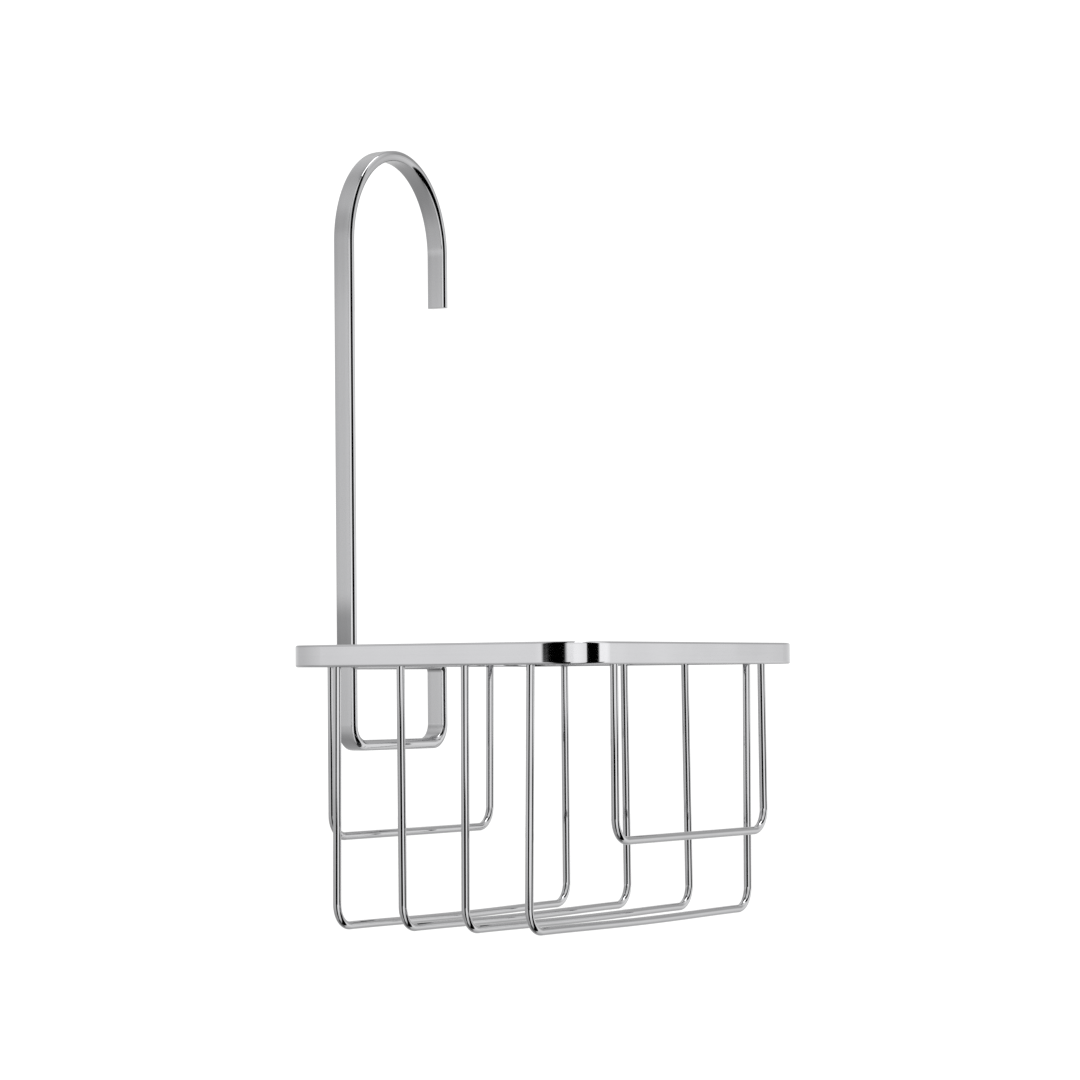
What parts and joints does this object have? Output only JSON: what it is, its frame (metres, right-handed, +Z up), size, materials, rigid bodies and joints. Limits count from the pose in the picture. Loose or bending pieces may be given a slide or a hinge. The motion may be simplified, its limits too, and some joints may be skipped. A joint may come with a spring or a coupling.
{
  "type": "hanging shower caddy",
  "caption": "Polished steel shower basket: flat-bar rim with round wires welded inside it, hung from an arched flat-bar hook with a closed loop at its foot.",
  "frame": {"origin": "the seat under the crown of the hook: the middle of the arch's underside, where the caddy hangs", "axes": "+Z up, -Y to the front, where the user stands, +Y to the wall behind the hook, +X to the right as seen from the front"},
  "size_m": [0.21, 0.1713, 0.3663],
  "materials": {
    "polished_flat_bar": "mirror-polished stainless flat bar",
    "satin_flat_bar": "polished stainless flat bar with faint lengthwise polishing lines",
    "polished_wire": "mirror-polished stainless round wire"
  },
  "bodies": {
    "root": {"rim_frame": "polished_flat_bar", "hook_bar": "satin_flat_bar", "cross_wire_1": "polished_wire", "cross_wire_2": "polished_wire", "cross_wire_3": "polished_wire", "cross_wire_4": "polished_wire", "front_guard_wire": "polished_wire", "back_guard_wire": "polished_wire"}
  },
  "joints": []
}
